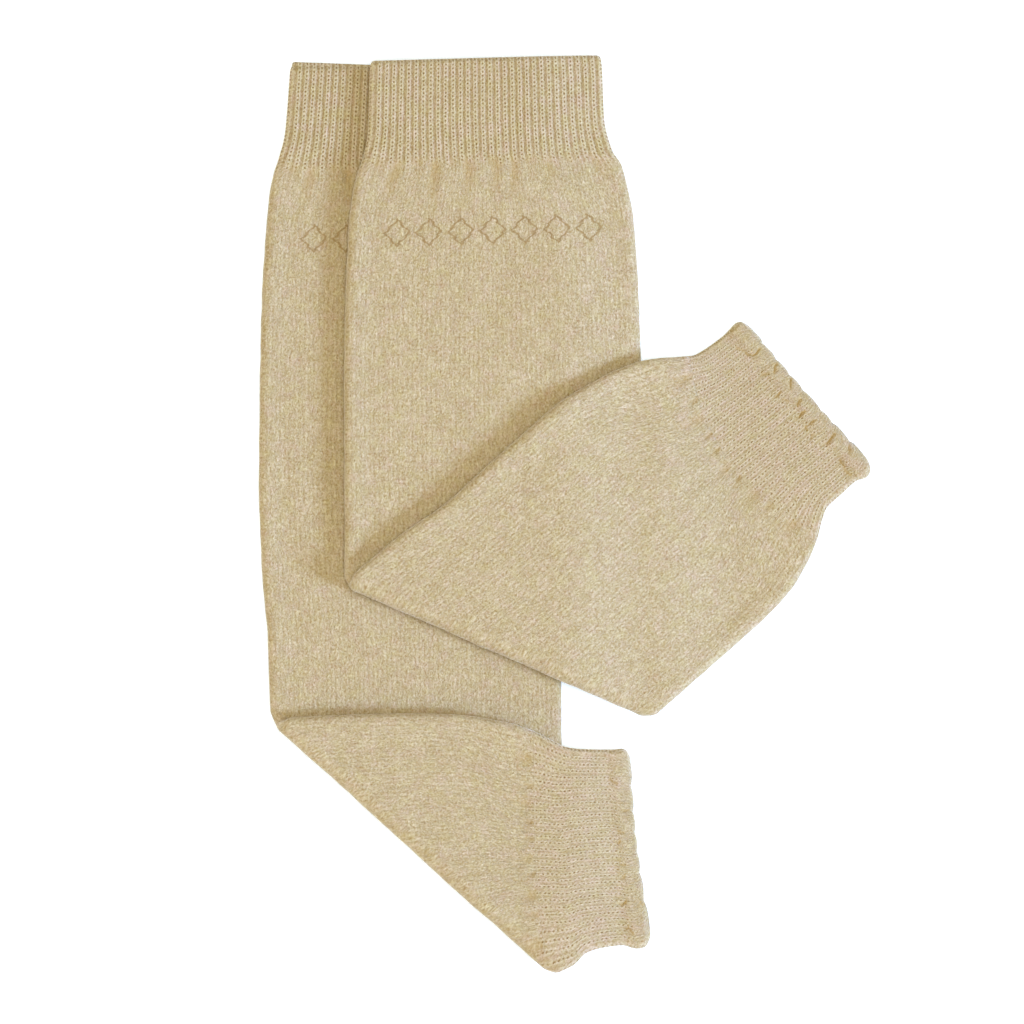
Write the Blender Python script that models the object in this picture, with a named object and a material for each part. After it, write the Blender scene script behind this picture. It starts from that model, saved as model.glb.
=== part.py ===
"""A pair of knitted wool leg warmers for a baby, laid flat, each folded over on itself.

Each leg warmer is one knitted tube, pressed flat: a ribbed top cuff, a plain leg, a ribbed ankle
cuff and a frilled edge. Its lower end is folded up and across along a slanting line, so that the
ankle lies on the leg and runs off over its right-hand edge. The "over" leg warmer lies partly on
the "under" one.

A point of the cloth is worked out in four steps:
  1. the station, which is the distance down the tube from its top edge;
  2. the flattened cross-section of the tube at that station, from the leg's chart;
  3. the fold, which bends the flat tube over a round edge and lays it back on itself;
  4. the drape, which lets the cloth down where what it lies on ends.
Chart sizes are in millimetres. Each leg has its own frame, with its origin at the middle of the
top edge, +X across the leg, -Y down the leg and +Z up from the surface that the pair lies on.
"""

from collections import namedtuple
import math

import bmesh
import bpy
import numpy as np

MM = 0.001

# Sizes that both leg warmers share, in millimetres.
TOP_CUFF_END = 29.0
SEAM_GAP = 0.3
BEND_SLACK = 0.9
CLOTH = 1.6
LEAST_HOLLOW = 0.25
TUBE = 3.9
FOLD_RADIUS = 4.2
RIM_WIDTH = 7.0
DRAPE_WIDTH = 18.0
OVER_LIFT = 4.6
FOLD_CORNER = 1.4

# Relief: ribs stand on the outside of the cuffs, gathers and ruffles move the whole wall.
RIBS = 30
RIB_HEIGHT = 0.4
RIB_FADE = 2.0
RUFFLE_HEIGHT = 1.4
RUFFLE_NOTCH = 0.5
TOP_GATHERS = 7
ANKLE_GATHERS = 8
GATHER_HEIGHT = 0.5
GATHER_REACH = 9.0
GATHER_DISTANCE = 6.0

Section = namedtuple("Section", "station centre half thickness left_rim right_rim")
Leg = namedtuple(
    "Leg",
    "name place heading top_slant ankle_start ankle_slant ankle_bow frill_start "
    "end end_slant end_bow fold_station fold_angle creases chart lies_on",
)

# One row for each measured section: how far the middle of the tube strays from a straight line,
# half its flat width, its thickness when pressed flat, and how far the fold at each side stands up.
UNDER_CHART = (
    Section(0.0, 0.0, 34.4, 2.9, 0.0, 0.0),
    Section(1.5, 0.0, 35.0, TUBE, 0.0, 0.0),
    Section(20.0, -0.7, 35.8, TUBE, 0.2, 0.0),
    Section(29.0, -1.1, 37.7, TUBE, 0.3, 0.0),
    Section(33.0, -0.5, 39.5, TUBE, 0.4, 0.0),
    Section(37.0, -0.1, 40.8, TUBE, 0.5, 0.0),
    Section(50.0, 0.7, 42.9, TUBE, 0.8, 0.0),
    Section(74.0, 0.8, 44.4, TUBE, 0.8, 0.0),
    Section(125.0, 0.9, 45.3, TUBE, 0.8, 0.0),
    Section(150.0, 1.9, 45.4, TUBE, 0.8, 0.0),
    Section(175.0, 2.6, 44.2, TUBE, 0.6, 0.0),
    Section(205.0, 3.1, 43.9, TUBE, 0.2, 0.0),
    Section(235.0, 3.7, 42.6, TUBE, 0.5, 0.0),
    Section(251.0, 4.1, 41.2, TUBE, 0.5, 0.0),
    Section(269.0, 6.2, 38.5, TUBE, 0.2, 0.0),
    Section(275.0, 7.0, 36.5, TUBE, 0.0, 0.0),
    Section(280.0, 7.7, 34.0, TUBE, 0.0, 0.0),
    Section(284.0, 7.4, 31.3, TUBE, 0.0, 0.0),
    Section(289.0, 7.2, 29.9, TUBE, 0.0, 0.0),
    Section(295.0, 7.4, 29.6, TUBE, 0.0, 0.0),
    Section(299.0, 7.7, 30.4, 4.4, 0.0, 0.0),
    Section(301.7, 7.7, 30.3, 4.4, 0.0, 0.0),
    Section(303.3, 7.6, 29.2, 3.2, 0.0, 0.0),
)
OVER_CHART = (
    Section(0.0, 0.0, 34.3, 2.9, 0.0, 0.0),
    Section(1.5, 0.0, 34.9, TUBE, 0.0, 0.0),
    Section(20.0, -0.3, 35.7, TUBE, 0.2, 0.2),
    Section(29.0, -0.1, 37.7, TUBE, 0.3, 0.3),
    Section(33.0, 0.3, 39.6, TUBE, 0.4, 0.4),
    Section(37.0, 0.2, 40.8, TUBE, 0.5, 0.5),
    Section(50.0, 0.3, 43.0, TUBE, 0.8, 0.8),
    Section(74.0, -0.1, 44.3, TUBE, 0.8, 0.5),
    Section(100.0, -0.6, 44.9, TUBE, 0.8, 0.0),
    Section(130.0, -0.9, 45.3, TUBE, 0.8, 0.0),
    Section(150.0, -1.1, 45.6, TUBE, 0.3, 0.0),
    Section(165.0, -1.4, 46.1, TUBE, 0.1, 0.0),
    Section(180.0, -1.2, 45.8, TUBE, 0.3, 0.0),
    Section(198.0, -0.5, 44.8, TUBE, 0.8, 0.0),
    Section(218.0, -0.6, 45.0, TUBE, 0.8, 0.5),
    Section(240.0, -0.7, 45.0, TUBE, 0.8, 0.8),
    Section(256.0, 0.1, 43.0, TUBE, 0.6, 0.6),
    Section(268.0, 0.2, 39.0, TUBE, 0.2, 0.2),
    Section(273.0, 0.4, 36.2, TUBE, 0.0, 0.0),
    Section(278.0, 0.6, 32.6, TUBE, 0.0, 0.0),
    Section(282.0, 1.0, 30.4, TUBE, 0.0, 0.0),
    Section(288.0, 1.4, 29.9, TUBE, 0.0, 0.0),
    Section(293.0, 1.5, 29.7, TUBE, 0.0, 0.0),
    Section(296.0, 1.4, 30.6, 4.4, 0.0, 0.0),
    Section(298.5, 1.2, 30.4, 4.4, 0.0, 0.0),
    Section(300.0, 1.0, 29.2, 3.2, 0.0, 0.0),
)

UNDER = Leg(
    name="under",
    place=(-48.2, 134.6),
    heading=0.0,
    top_slant=1.2,
    ankle_start=271.8,
    ankle_slant=-1.5,
    ankle_bow=1.5,
    frill_start=296.6,
    end=302.8,
    end_slant=0.6,
    end_bow=1.0,
    fold_station=234.2,
    fold_angle=42.1,
    creases=(0.18, 0.28, 0.42, 0.52, 0.66, 0.79, 0.92),
    chart=UNDER_CHART,
    lies_on=None,
)
OVER = Leg(
    name="over",
    place=(-24.2, 136.9),
    heading=1.6,
    top_slant=0.0,
    ankle_start=268.7,
    ankle_slant=-2.8,
    ankle_bow=8.2,
    frill_start=294.1,
    end=299.5,
    end_slant=0.2,
    end_bow=0.5,
    fold_station=179.7,
    fold_angle=25.2,
    creases=(0.12, 0.25, 0.37, 0.45, 0.53, 0.61, 0.73, 0.87),
    chart=OVER_CHART,
    lies_on=UNDER,
)

# How finely each piece is divided: segments along the front, each side bend and the back of a ring.
Rounds = namedtuple("Rounds", "front bend back")
LEG_OUTSIDE = Rounds(front=24, bend=3, back=24)
LEG_INSIDE = Rounds(front=10, bend=2, back=10)
TOP_CUFF_OUTSIDE = Rounds(front=2 * RIBS, bend=4, back=12)
ANKLE_CUFF_OUTSIDE = Rounds(front=12, bend=4, back=2 * RIBS)
CUFF_INSIDE = Rounds(front=10, bend=2, back=10)
FRILL_ROUNDS = Rounds(front=12, bend=4, back=54)

# Where the rings of each piece lie, as shares of its length. A leg has three stretches of them.
TOP_CUFF_ROWS = (0.0, 0.05, 0.62, 1.0)
ABOVE_FOLD_ROWS = (0.0, 0.02, 0.045, 0.08, 0.13, 0.21, 0.33, 0.48, 0.64, 0.8, 0.95)
FOLD_ROWS = (0.0, 0.17, 0.33, 0.5, 0.67, 0.83, 1.0)
BELOW_FOLD_ROWS = (0.06, 0.14, 0.23, 0.32, 0.41, 0.5, 0.6, 0.7, 0.8, 0.9, 1.0)
ANKLE_CUFF_ROWS = (0.0, 0.05, 0.12, 0.22, 0.34, 0.5, 0.75, 1.0)
FRILL_ROWS = (0.0, 0.35, 0.75, 1.0)


def smooth_step(t):
    """0 below t = 0, 1 above t = 1, and a smooth S between them."""
    t = np.clip(t, 0.0, 1.0)
    return t * t * (3.0 - 2.0 * t)


def read_chart(leg, column, station):
    """The chart's column at any station, on a cubic curve through its rows that doesn't overshoot."""
    known = np.array([row.station for row in leg.chart])
    value = np.array([getattr(row, column) for row in leg.chart])
    step = np.diff(known)
    rise = np.diff(value) / step
    slope = np.zeros(len(known))
    same_way = rise[1:] * rise[:-1] > 0
    slope[1:-1][same_way] = 2.0 / (1.0 / rise[1:][same_way] + 1.0 / rise[:-1][same_way])
    slope[0] = rise[0]
    slope[-1] = rise[-1]
    station = np.clip(station, known[0], known[-1])
    i = np.clip(np.searchsorted(known, station, side="right") - 1, 0, len(step) - 1)
    t = (station - known[i]) / step[i]
    start = value[i] * (1 + 2 * t) * (1 - t) ** 2 + slope[i] * step[i] * t * (1 - t) ** 2
    end = value[i + 1] * t * t * (3 - 2 * t) + slope[i + 1] * step[i] * t * t * (t - 1)
    return start + end


def laps(rounds):
    """Places round a ring: 0 to 1 across the front, 1 to 2 round the right side, 2 to 3 back across
    the back, and 3 to 4 round the left side."""
    counts = (rounds.front, rounds.bend, rounds.back, rounds.bend)
    return np.concatenate([quarter + np.arange(count) / count for quarter, count in enumerate(counts)])


def across(lap):
    """-1 at the left side of the flat tube and 1 at its right side. Both faces are packed closer
    towards their sides, where the cloth turns."""
    face = np.where(lap < 2, lap, 3.0 - lap)
    flat = 2.0 * np.clip(face, 0.0, 1.0) - 1.0
    return np.sin(flat * math.pi / 2) * 0.35 + flat * 0.65


def facing(lap):
    """The way the outside faces: 0 degrees for the front, 90 for the right side, 180 for the back."""
    right_side = np.clip(lap - 1.0, 0.0, 1.0)
    left_side = np.clip(lap - 3.0, 0.0, 1.0)
    return math.pi * (right_side + left_side)


def fold_line(leg, share):
    """(station where the bend starts, station where it ends) for a place across the leg."""
    angle = math.radians(leg.fold_angle)
    half = read_chart(leg, "half", np.array(leg.fold_station))
    centre = read_chart(leg, "centre", np.array(leg.fold_station))
    start = leg.fold_station - FOLD_RADIUS / math.cos(angle) + math.tan(angle) * (share * half + centre)
    return start, start + bend_length() / math.cos(angle)


def bend_length():
    """The length of cloth that turns over the fold, measured midway through the tube."""
    return math.pi * (FOLD_RADIUS - TUBE / 2)


def past_fold(leg, x, station):
    """How far a place on the flat tube lies beyond the start of the bend, square to the fold line."""
    angle = math.radians(leg.fold_angle)
    start = leg.fold_station - FOLD_RADIUS / math.cos(angle)
    return (station - start) * math.cos(angle) - x * math.sin(angle)


def mid_bend(distance):
    """1 midway round the bend at the fold, and 0 from either end of it."""
    return np.sin(math.pi * np.clip(distance / bend_length(), 0.0, 1.0)) ** 2


def section(leg, station, lap, depth, relief):
    """(x, height) of the flat tube's wall. depth is 0 on the outside and 1 on the inside. What stands
    up is on the face that shows, which is the front above the fold line, and the back below it, where
    the tube is turned over: the side folds, a thicker welt and the relief. The other face is flat."""
    share = across(lap)
    half = read_chart(leg, "half", station)
    centre = read_chart(leg, "centre", station)
    thickness = read_chart(leg, "thickness", station)
    left_rim = read_chart(leg, "left_rim", station)
    right_rim = read_chart(leg, "right_rim", station)
    distance = past_fold(leg, centre + share * (half - TUBE / 2), station)
    turned = smooth_step(distance / bend_length())
    half = half - FOLD_CORNER * mid_bend(distance) * np.abs(share) ** 8
    near_side = smooth_step(1.0 - (1.0 - np.abs(share)) * half / RIM_WIDTH)
    rim = np.where(share < 0, left_rim, right_rim) * near_side
    front = thickness + (TUBE - thickness) * turned + rim * (1.0 - turned)
    back = (TUBE - thickness - rim) * turned
    wall = np.minimum(CLOTH, thickness / 2 - LEAST_HOLLOW)
    radius = (front - back) / 2
    turn = facing(lap)
    shown = 0.5 + 0.5 * np.cos(turn) * (1.0 - 2.0 * turned)
    reach = radius - wall * depth + relief * shown
    x = centre + share * (half - radius) + reach * np.sin(turn)
    height = (front + back) / 2 + reach * np.cos(turn)
    return x, height


def fold(leg, x, station, height):
    """(x, station, height, how far past the bend) of a point of the flat tube once it is folded."""
    angle = math.radians(leg.fold_angle)
    distance = past_fold(leg, x, station)
    turn = math.pi * np.clip(distance / bend_length(), 0.0, 1.0)
    beyond = np.maximum(distance - bend_length(), 0.0)
    radius = FOLD_RADIUS - height
    moved = np.where(distance > 0, radius * np.sin(turn) - beyond, distance) - distance
    raised = np.where(distance > 0, FOLD_RADIUS - radius * np.cos(turn), height)
    return x - moved * math.sin(angle), station + moved * math.cos(angle), raised, beyond


def beyond_right_side(leg, x, station):
    """How far a place on the surface lies to the right of a leg's upper stretch."""
    return x - read_chart(leg, "centre", station) - read_chart(leg, "half", station)


def seen_from(leg, other, x, station):
    """A place in leg's frame, as (x, station) in the frame of the other leg."""
    turn = math.radians(leg.heading - other.heading)
    shift = np.array(leg.place) - np.array(other.place)
    away = math.radians(other.heading)
    shift_x = shift[0] * math.cos(away) + shift[1] * math.sin(away)
    shift_y = -shift[0] * math.sin(away) + shift[1] * math.cos(away)
    other_x = shift_x + x * math.cos(turn) + station * math.sin(turn)
    other_y = shift_y + x * math.sin(turn) - station * math.cos(turn)
    return other_x, -other_y


def drape(leg, x, station, height, beyond):
    """The height once the cloth lies on what is under it: its own upper stretch past the fold, and
    the other leg warmer. It comes down to the surface over DRAPE_WIDTH past each one's right side."""
    own_side = smooth_step(beyond_right_side(leg, x, station) / DRAPE_WIDTH)
    past_bend = smooth_step(beyond / bend_length())
    height = height - (2 * FOLD_RADIUS - TUBE) * own_side * past_bend
    if leg.lies_on is not None:
        other_x, other_station = seen_from(leg, leg.lies_on, x, station)
        off_it = smooth_step(beyond_right_side(leg.lies_on, other_x, other_station) / DRAPE_WIDTH)
        height = height + OVER_LIFT * (1.0 - off_it)
    return height


def cloth_ring(leg, station, lap, depth, relief=0.0):
    """The points of one ring of the laid-out tube, in metres in the leg's frame."""
    x, height = section(leg, station, lap, depth, relief)
    x, station, height, beyond = fold(leg, x, station, height)
    height = drape(leg, x, station, height, beyond)
    return np.stack([x, -station, height], axis=1) * MM


def zip_rings(first, first_laps, second, second_laps):
    """Triangles that join two rings with unlike numbers of points, given their point numbers."""
    faces = []
    i = j = 0
    first_ends = np.append(first_laps[1:], 4.0)
    second_ends = np.append(second_laps[1:], 4.0)
    while i < len(first) or j < len(second):
        step_first = j == len(second) or (i < len(first) and first_ends[i] <= second_ends[j])
        a = first[i % len(first)]
        b = second[j % len(second)]
        if step_first:
            faces.append((a, first[(i + 1) % len(first)], b))
            i += 1
        else:
            faces.append((a, second[(j + 1) % len(second)], b))
            j += 1
    return faces


def ring_quads(numbers):
    """The four-sided faces between each ring and the next, from a table of point numbers."""
    here = numbers[:-1]
    below = numbers[1:]
    quads = np.stack([here, np.roll(here, -1, 1), np.roll(below, -1, 1), below], axis=2)
    return quads.reshape(-1, 4).tolist()


def knit_tube(name, outside, outside_laps, inside, inside_laps, parent, material, collection):
    """One object: a wall between rings outside and rings inside, closed at both of its ends."""
    points = np.concatenate([np.concatenate(outside), np.concatenate(inside)])
    outer = np.arange(len(outside) * len(outside_laps)).reshape(len(outside), -1)
    inner = outer.size + np.arange(len(inside) * len(inside_laps)).reshape(len(inside), -1)
    faces = ring_quads(outer) + ring_quads(inner)
    for end in (0, -1):
        faces += zip_rings(outer[end], outside_laps, inner[end], inside_laps)
    mesh = bpy.data.meshes.new(name)
    mesh.from_pydata(points.tolist(), [], faces)
    shape = bmesh.new()
    shape.from_mesh(mesh)
    bmesh.ops.recalc_face_normals(shape, faces=shape.faces)
    shape.to_mesh(mesh)
    shape.free()
    mesh.shade_smooth()
    mesh.set_sharp_from_angle(angle=math.radians(50))
    mesh.materials.append(material)
    piece = bpy.data.objects.new(name, mesh)
    piece.parent = parent
    collection.objects.link(piece)
    return piece


def rib_relief(lap, station, start, end):
    """Ribs as alternate points that stand out and sink in. They fade out within RIB_FADE of the
    cuff's finished edge."""
    wave = np.where(np.arange(len(lap)) % 2 == 0, -0.5, 0.5) * RIB_HEIGHT
    return wave * smooth_step(np.minimum(station - start, end - station) / RIB_FADE + 0.3)


def gather(lap, station, waves, middle):
    """Shallow folds that run into a cuff, and die out away from it."""
    share = across(lap)
    swing = np.sin(math.pi * waves * (share + 0.13 * np.sin(4.0 * share)))
    reach = np.exp(-(((station - middle) / GATHER_REACH) ** 2))
    return GATHER_HEIGHT * swing * reach * (1.0 - share**6)


def ruffle(leg, lap):
    """0 at each crease of the frill and 1 at the top of each puff between two creases."""
    position = (across(lap) + 1.0) / 2.0
    edges = np.array((-0.04, *leg.creases, 1.04))
    i = np.clip(np.searchsorted(edges, position, side="right") - 1, 0, len(edges) - 2)
    width = edges[i + 1] - edges[i]
    puff = np.sin(math.pi * (position - edges[i]) / width) ** 0.7
    return puff * np.clip(width / 0.12, 0.7, 1.15)


def wall_rings(leg, stations, lap, depth, outside_relief=None, wall_shift=None):
    """The rings of one surface of a piece's wall, at these stations."""
    rings = []
    for station in stations:
        at = station(across(lap))
        relief = np.zeros(len(lap))
        if wall_shift is not None:
            relief = relief + wall_shift(at)
        if outside_relief is not None and depth == 0:
            relief = relief + outside_relief(at)
        rings.append(cloth_ring(leg, at, lap, depth, relief))
    return rings


def between(start, end, shares):
    """For each share, a function that gives the ring's station for any place across the leg."""
    return [lambda across_it, t=t: start(across_it) * (1 - t) + end(across_it) * t for t in shares]


def bowed(station, bow=0.0, slant=0.0):
    """A ring edge across the leg that lies further down at its sides by bow, and turned by slant."""
    return lambda across_it: station + slant * across_it + bow * across_it**2


def make_top_cuff(leg, parent, material, collection):
    """The turned top cuff, in one-by-one rib. The ribs stand up on the front, which shows."""
    rows = between(bowed(0.0, slant=leg.top_slant), bowed(TOP_CUFF_END - SEAM_GAP), TOP_CUFF_ROWS)
    outer_laps = laps(TOP_CUFF_OUTSIDE)
    inner_laps = laps(CUFF_INSIDE)

    def ribs(at):
        return rib_relief(outer_laps, at, 0.0, TOP_CUFF_END + RIB_FADE)

    outside = wall_rings(leg, rows, outer_laps, 0, outside_relief=ribs)
    inside = wall_rings(leg, rows, inner_laps, 1)
    name = leg.name + "_top_cuff"
    return knit_tube(name, outside, outer_laps, inside, inner_laps, parent, material, collection)


def make_leg_tube(leg, parent, material, collection):
    """The plain leg. Its rings turn to run along the fold, where the tube bends over."""
    seam = bowed(leg.ankle_start - SEAM_GAP, leg.ankle_bow, leg.ankle_slant)

    def last(across_it):
        station = seam(across_it)
        x = read_chart(leg, "centre", station) + across_it * read_chart(leg, "half", station)
        return station - BEND_SLACK * mid_bend(past_fold(leg, x, station))

    def bend_start(across_it):
        return np.minimum(fold_line(leg, across_it)[0], last(across_it) - 8.0)

    def bend_end(across_it):
        return np.minimum(fold_line(leg, across_it)[1], last(across_it) - 2.5)

    rows = between(bowed(TOP_CUFF_END), bend_start, ABOVE_FOLD_ROWS)
    rows += between(bend_start, bend_end, FOLD_ROWS)
    rows += between(bend_end, last, BELOW_FOLD_ROWS)

    def surface(rounds, depth):
        lap = laps(rounds)

        def gathers(at):
            top = gather(lap, at, TOP_GATHERS, TOP_CUFF_END + GATHER_DISTANCE)
            ankle = gather(lap, at, ANKLE_GATHERS, leg.ankle_start - GATHER_DISTANCE)
            return top + ankle

        return wall_rings(leg, rows, lap, depth, wall_shift=gathers), lap

    outside, outer_laps = surface(LEG_OUTSIDE, 0)
    inside, inner_laps = surface(LEG_INSIDE, 1)
    name = leg.name + "_leg"
    return knit_tube(name, outside, outer_laps, inside, inner_laps, parent, material, collection)


def make_ankle_cuff(leg, parent, material, collection):
    """The narrow ankle cuff, in one-by-one rib. The ribs stand up on the back, which shows."""
    top = bowed(leg.ankle_start, leg.ankle_bow, leg.ankle_slant)
    rows = between(top, bowed(leg.frill_start - SEAM_GAP), ANKLE_CUFF_ROWS)
    outer_laps = laps(ANKLE_CUFF_OUTSIDE)
    inner_laps = laps(CUFF_INSIDE)

    def ribs(at):
        start = leg.ankle_start - RIB_FADE
        return rib_relief(outer_laps, at, start, leg.frill_start + RIB_FADE)

    outside = wall_rings(leg, rows, outer_laps, 0, outside_relief=ribs)
    inside = wall_rings(leg, rows, inner_laps, 1)
    name = leg.name + "_ankle_cuff"
    return knit_tube(name, outside, outer_laps, inside, inner_laps, parent, material, collection)


def make_frill(leg, parent, material, collection):
    """The frilled edge below the ankle cuff, which puffs up between creases."""
    lap = laps(FRILL_ROUNDS)
    puffs = ruffle(leg, lap)
    hem = bowed(leg.end, leg.end_bow, leg.end_slant)

    def end(across_it):
        return hem(across_it) - RUFFLE_NOTCH * (1.0 - puffs)

    rows = between(bowed(leg.frill_start), end, FRILL_ROWS)

    def puff_out(at):
        along = np.clip((at - leg.frill_start) / (leg.end - leg.frill_start), 0.0, 1.0)
        return RUFFLE_HEIGHT * puffs * np.sin(math.pi * (0.12 + 0.72 * along))

    outside = wall_rings(leg, rows, lap, 0, wall_shift=puff_out)
    inside = wall_rings(leg, rows, lap, 1, wall_shift=puff_out)
    name = leg.name + "_frill"
    return knit_tube(name, outside, lap, inside, lap, parent, material, collection)


def wool(name, colour, roughness):
    """A plain material in the wool's colour."""
    material = bpy.data.materials.new(name)
    material.use_nodes = True
    shader = material.node_tree.nodes["Principled BSDF"]
    shader.inputs["Base Color"].default_value = (*colour, 1.0)
    shader.inputs["Roughness"].default_value = roughness
    shader.inputs["Metallic"].default_value = 0.0
    material.diffuse_color = (*colour, 1.0)
    return material


def main():
    for thing in list(bpy.data.objects):
        bpy.data.objects.remove(thing)
    pair = bpy.data.collections.new("leg_warmers")
    bpy.context.scene.collection.children.link(pair)
    plain_wool = wool("oatmeal_wool_plain", (0.60, 0.50, 0.32), 0.95)
    rib_wool = wool("oatmeal_wool_rib", (0.58, 0.48, 0.31), 0.95)
    for leg in (UNDER, OVER):
        laid = bpy.data.objects.new(leg.name + "_leg_warmer", None)
        laid.location = (leg.place[0] * MM, leg.place[1] * MM, 0.0)
        laid.rotation_euler = (0.0, 0.0, math.radians(leg.heading))
        pair.objects.link(laid)
        make_top_cuff(leg, laid, rib_wool, pair)
        make_leg_tube(leg, laid, plain_wool, pair)
        make_ankle_cuff(leg, laid, rib_wool, pair)
        make_frill(leg, laid, plain_wool, pair)


main()
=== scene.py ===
from collections import namedtuple
import math

import bpy
import numpy as np
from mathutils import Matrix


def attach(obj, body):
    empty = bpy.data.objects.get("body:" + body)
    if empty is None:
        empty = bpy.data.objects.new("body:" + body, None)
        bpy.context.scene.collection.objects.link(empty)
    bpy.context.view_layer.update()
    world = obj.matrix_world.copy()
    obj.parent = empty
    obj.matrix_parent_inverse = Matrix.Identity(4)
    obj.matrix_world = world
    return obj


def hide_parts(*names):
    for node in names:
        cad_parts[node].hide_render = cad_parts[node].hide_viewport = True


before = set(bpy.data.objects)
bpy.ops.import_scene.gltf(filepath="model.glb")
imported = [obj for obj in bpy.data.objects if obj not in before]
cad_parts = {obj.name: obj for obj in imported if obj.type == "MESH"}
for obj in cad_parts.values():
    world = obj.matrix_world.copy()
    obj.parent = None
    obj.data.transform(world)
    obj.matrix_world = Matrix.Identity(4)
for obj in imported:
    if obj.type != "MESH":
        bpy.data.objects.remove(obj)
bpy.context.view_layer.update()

# The turned top cuffs.
# The real ones are one-by-one rib in a soft beige wool, knitted first and folded to a double edge.
# The ribs stand up as columns of stitches, and each stitch is a pair of slanting legs of yarn.

# Sizes are in millimetres, and MM turns them into metres when a mesh's points are made.
MM = 0.001

# The thickness of the wall, the least hollow left inside it, and the flat tube's usual thickness.
CLOTH = 1.6
LEAST_HOLLOW = 0.25
TUBE = 3.9

# How wide a rim beside the tube's edge is, and how round the lower end's corners are.
RIM_WIDTH = 7.0
EAR_RADIUS = 3.5

# The outer radius of the bend at a fold, and how far the sides draw in midway round it.
FOLD_RADIUS = 4.2
FOLD_CORNER = 1.4

# How wide the slope past an edge beneath is, and how high the over leg lies where it has the
# under one beneath it.
DRAPE_WIDTH = 28.0
OVER_LIFT = 4.6

# How far the knitting is let into the wall on the hidden face, the gap between two pieces, and
# how far the wall is rounded at an open end.
HIDDEN_PEAK = 0.3
SEAM = 0.02
LIP = 0.8

# The knitting: columns of stitches are wales, and rows of stitches are courses.
FACE_WALES = 60
SIDE_WALES = 4
ALL_WALES = 2 * (FACE_WALES + SIDE_WALES)
TOP_CUFF_COURSES = 24

# Half the width of each cuff, the length of the top one, and the length over which the columns
# spread out from a cuff.
TOP_CUFF_HALF = 35.6
ANKLE_CUFF_HALF = 29.8
TOP_CUFF_LENGTH = 28.85
GATHER_LENGTH = 22.0

# Rows of grid points on a cuff's outside, for each row of stitches, and up its inside.
ROWS_PER_COURSE = 6
TOP_CUFF_INSIDE_ROWS = 9

# A rib and its stitches: their heights, the lengths over which ribs start and end, and where the
# ridges of a stitch lie, how far they bow out, how wide they are and how far they narrow, as
# shares of a column's width.
TOP_RIB_HEIGHT = 0.11
TOP_RIB_START = 1.2
TOP_RIB_END = 3.0
STITCH_HEIGHT = 0.12
RIDGE_PLACE = 0.16
RIDGE_BOW = 0.24
RIDGE_WIDTH = 0.55
RIDGE_TAPER = 0.15

# Mesh edges that bend by more than this are shaded sharp.
SHARP_DEGREES = 75.0

# A section of the flat tube: its distance from the top edge, how far its middle strays from a
# straight line, half its width, its thickness, and how far each side stands up as a rim.
Section = namedtuple("Section", "station centre half thickness left_rim right_rim")
Leg = namedtuple(
    "Leg",
    "name place heading top_slant ankle_start ankle_slant ankle_bow frill_start "
    "end end_slant end_bow fold_station fold_angle chart lies_on",
)

# Distances down the leg are stations. The seams and the lower end slant and bow across the leg.
UNDER = Leg(
    name="under",
    place=(-48.2, 134.6),
    heading=0.0,
    top_slant=1.2,
    ankle_start=271.8,
    ankle_slant=-1.5,
    ankle_bow=1.5,
    frill_start=296.6,
    end=302.5,
    end_slant=0.4,
    end_bow=1.0,
    fold_station=234.2,
    fold_angle=42.1,
    chart=(
        Section(0.0, 0.0, 34.4, 2.9, 0.0, 0.0),
        Section(1.5, 0.0, 35.0, TUBE, 0.0, 0.0),
        Section(20.0, -0.7, 35.8, TUBE, 0.2, 0.0),
        Section(29.0, -1.1, 37.7, TUBE, 0.3, 0.0),
        Section(33.0, -0.5, 39.5, TUBE, 0.4, 0.0),
        Section(37.0, -0.1, 40.8, TUBE, 0.5, 0.0),
        Section(50.0, 0.7, 42.9, TUBE, 0.8, 0.0),
        Section(74.0, 0.8, 44.4, TUBE, 0.8, 0.0),
        Section(125.0, 0.9, 45.3, TUBE, 0.8, 0.0),
        Section(150.0, 1.9, 45.4, TUBE, 0.8, 0.0),
        Section(175.0, 2.6, 44.2, TUBE, 0.6, 0.0),
        Section(205.0, 3.1, 43.9, TUBE, 0.2, 0.0),
        Section(235.0, 3.7, 42.6, TUBE, 0.5, 0.0),
        Section(251.0, 4.1, 41.2, TUBE, 0.5, 0.0),
        Section(269.0, 6.2, 38.5, TUBE, 0.2, 0.0),
        Section(275.0, 7.0, 36.5, TUBE, 0.0, 0.0),
        Section(280.0, 7.7, 34.0, TUBE, 0.0, 0.0),
        Section(284.0, 7.4, 31.3, TUBE, 0.0, 0.0),
        Section(289.0, 7.5, 30.2, TUBE, 0.0, 0.0),
        Section(295.0, 7.9, 29.8, TUBE, 0.0, 0.0),
        Section(299.0, 8.8, 30.0, 4.3, 0.0, 0.0),
        Section(301.7, 8.6, 30.0, 4.3, 0.0, 0.0),
        Section(303.3, 8.4, 29.4, 3.2, 0.0, 0.0),
    ),
    lies_on=None,
)
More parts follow.
